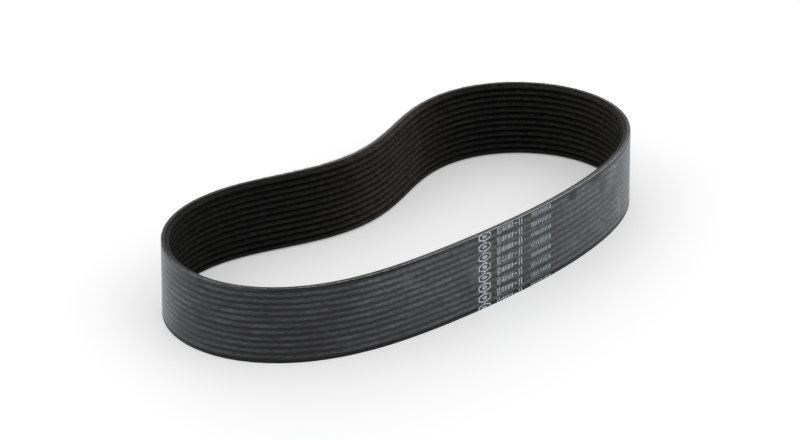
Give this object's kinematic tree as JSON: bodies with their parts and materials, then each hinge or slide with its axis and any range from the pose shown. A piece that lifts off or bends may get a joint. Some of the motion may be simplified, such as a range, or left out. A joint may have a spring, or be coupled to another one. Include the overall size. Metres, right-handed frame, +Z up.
{
  "type": "serpentine belt",
  "caption": "Endless ribbed drive belt of black rubber, standing on its cut edge and bent into a lobed loop with a waist, with ribs running round its inner face.",
  "frame": {"origin": "centre of the bounding box of the loop, on the floor that the belt stands on", "axes": "+Z up across the belt's width, +X along the loop's long axis, the plain near run on the -Y side and the waist on the +Y side"},
  "size_m": [0.3226, 0.1474, 0.0427],
  "materials": {
    "belt_rubber": "matt black rubber, with a fine woven grain and a faint grey bloom on the back and darker moulded ribs inside"
  },
  "bodies": {
    "root": {"serpentine_belt": "belt_rubber"}
  },
  "joints": []
}
